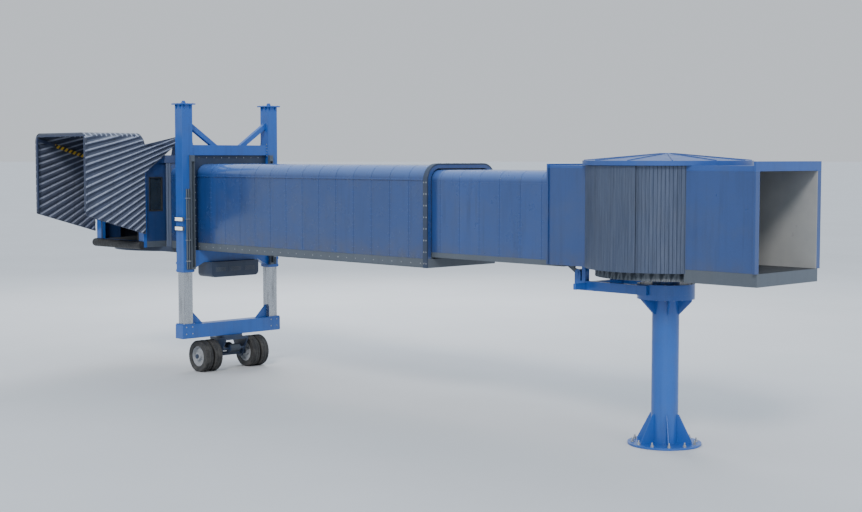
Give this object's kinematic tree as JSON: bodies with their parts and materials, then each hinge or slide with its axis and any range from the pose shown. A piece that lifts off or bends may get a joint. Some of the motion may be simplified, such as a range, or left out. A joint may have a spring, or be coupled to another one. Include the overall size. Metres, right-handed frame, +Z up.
{
  "type": "passenger boarding bridge",
  "caption": "Apron-drive passenger boarding bridge with a rotunda, telescoping tunnels, a wheeled lift portal and a turning cab with a pleated canopy.",
  "frame": {"origin": "centre of the pedestal's base plate, on the ground", "axes": "+X along the tunnels to the cab, +Y to the side the cab faces, +Z up"},
  "size_m": [26.4099, 6.5801, 8.828],
  "materials": {
    "blue_steel": "satin blue paint on structural steel",
    "dark_steel": "satin dark blue-grey paint",
    "panel": "glossy slate blue panel paint",
    "floor_steel": "matt grey paint",
    "slats": "satin anodised slats",
    "leg_steel": "greased pale grey paint",
    "wheel": "satin grey paint",
    "tyre": "solid black tyre",
    "bumper": "matt black rubber",
    "canopy_fabric": "coated dark grey fabric",
    "conduit": "matt grey paint on sheet steel",
    "lamp": "frosted warm white diffuser",
    "tube": "satin grey powder coat",
    "window": "clear glass"
  },
  "bodies": {
    "rotunda": {"base_plate": "blue_steel", "pedestal_column": "blue_steel", "rotunda_floor": "floor_steel", "rotunda_roof": "panel", "passage_floor": "floor_steel", "passage_walls": "panel", "passage_roof": "panel", "fixed_curtains": "slats"},
    "swing_frame": {"swing_yoke": "blue_steel", "hood_floor": "floor_steel", "hood_walls": "panel", "hood_roof": "panel", "swing_curtains": "slats"},
    "inner_tunnel": {"inner_floor": "floor_steel", "inner_walls": "panel", "inner_roof": "panel"},
    "outer_tunnel": {"outer_floor": "floor_steel", "outer_walls": "panel", "outer_roof": "panel", "outer_collars": "dark_steel", "lift_posts": "blue_steel", "post_caps": "blue_steel", "portal_beam": "blue_steel", "portal_ring": "dark_steel", "under_beam": "blue_steel", "drive_box": "dark_steel", "cable_troughs": "conduit", "work_lamps": "lamp", "cab_support": "dark_steel", "cab_fixed_curtain": "slats"},
    "lift_carriage": {"lift_legs": "leg_steel", "carriage_beam": "blue_steel", "carriage_frame": "dark_steel", "wheel_hubs": "wheel", "tyres": "tyre"},
    "cab": {"cab_floor": "floor_steel", "cab_ceiling": "panel", "cab_roof": "dark_steel", "cab_walls": "dark_steel", "cab_windows": "window", "cab_front_frame": "blue_steel", "cab_curtain": "slats", "cab_bumper": "bumper", "canopy_bows": "tube", "canopy": "canopy_fabric"}
  },
  "joints": [
    {"name": "tunnel_swing", "type": "hinge", "parent": "rotunda", "child": "swing_frame", "pos_m": [0, 0, 3.825], "axis": [0, 0, 1], "range_deg": [-30, 30]},
    {"name": "tunnel_pitch", "type": "hinge", "parent": "swing_frame", "child": "inner_tunnel", "pos_m": [2.15, 0, 4.12], "axis": [0, -1, 0], "range_deg": [-4, 3.5]},
    {"name": "telescope", "type": "slide", "parent": "inner_tunnel", "child": "outer_tunnel", "axis": [1, 0, 0], "range_m": [-4, 3]},
    {"name": "lift", "type": "slide", "parent": "outer_tunnel", "child": "lift_carriage", "axis": [0, 0, -1], "range_m": [-1.105, 0.967]},
    {"name": "cab_turn", "type": "hinge", "parent": "outer_tunnel", "child": "cab", "pos_m": [20.9, 0, 4], "axis": [0, 0, 1], "range_deg": [-90, 0]}
  ],
  "couplings": [
    {"joint": "lift", "follows": "tunnel_pitch", "m_per_rad": 15.75}
  ]
}
